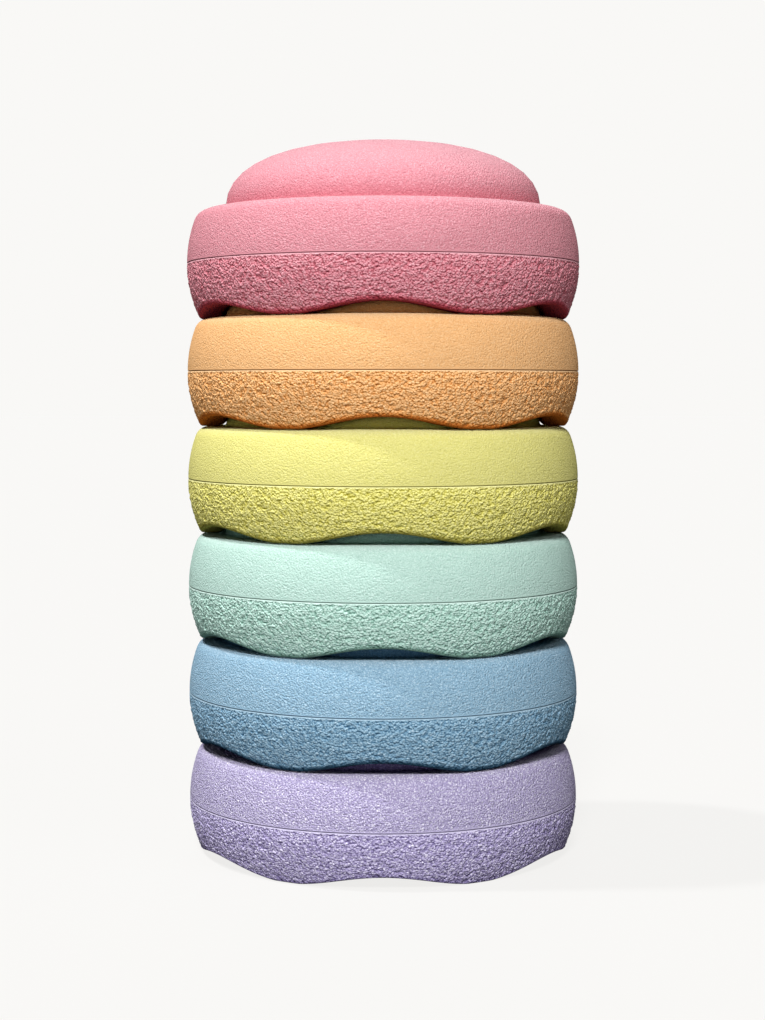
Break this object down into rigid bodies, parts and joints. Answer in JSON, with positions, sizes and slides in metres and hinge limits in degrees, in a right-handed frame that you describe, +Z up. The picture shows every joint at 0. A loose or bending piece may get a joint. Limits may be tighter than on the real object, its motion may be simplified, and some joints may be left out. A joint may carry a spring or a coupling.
{
  "type": "stacking stone set",
  "caption": "Tower of hollow domed foam stones for balancing and building play, each nesting over the dome of the one below and standing on a wavy rim of low feet.",
  "frame": {"origin": "on the surface that the lowest stone's feet stand on, at the tower's axis", "axes": "+Z up the tower's axis, -Y towards the front of the picture, where an arch of the wavy rim faces, +X to the right"},
  "size_m": [0.275, 0.275, 0.4976],
  "materials": {
    "purple_foam": "matt moulded bead foam with a grained skin",
    "blue_foam": "matt moulded bead foam with a grained skin",
    "mint_foam": "matt moulded bead foam with a grained skin",
    "yellow_foam": "matt moulded bead foam with a grained skin",
    "orange_foam": "matt moulded bead foam with a grained skin",
    "pink_foam": "matt moulded bead foam with a grained skin"
  },
  "bodies": {
    "purple_stone": {"purple_stone": "purple_foam"},
    "blue_stone": {"blue_stone": "blue_foam"},
    "mint_stone": {"mint_stone": "mint_foam"},
    "yellow_stone": {"yellow_stone": "yellow_foam"},
    "orange_stone": {"orange_stone": "orange_foam"},
    "pink_stone": {"pink_stone": "pink_foam"}
  },
  "joints": [
    {"name": "blue_lift", "type": "slide", "parent": "purple_stone", "child": "blue_stone", "axis": [0, 0, 1], "range_m": [0, 0.12]},
    {"name": "mint_lift", "type": "slide", "parent": "blue_stone", "child": "mint_stone", "axis": [0, 0, 1], "range_m": [0, 0.12]},
    {"name": "yellow_lift", "type": "slide", "parent": "mint_stone", "child": "yellow_stone", "axis": [0, 0, 1], "range_m": [0, 0.12]},
    {"name": "orange_lift", "type": "slide", "parent": "yellow_stone", "child": "orange_stone", "axis": [0, 0, 1], "range_m": [0, 0.12]},
    {"name": "pink_lift", "type": "slide", "parent": "orange_stone", "child": "pink_stone", "axis": [0, 0, 1], "range_m": [0, 0.12]}
  ]
}
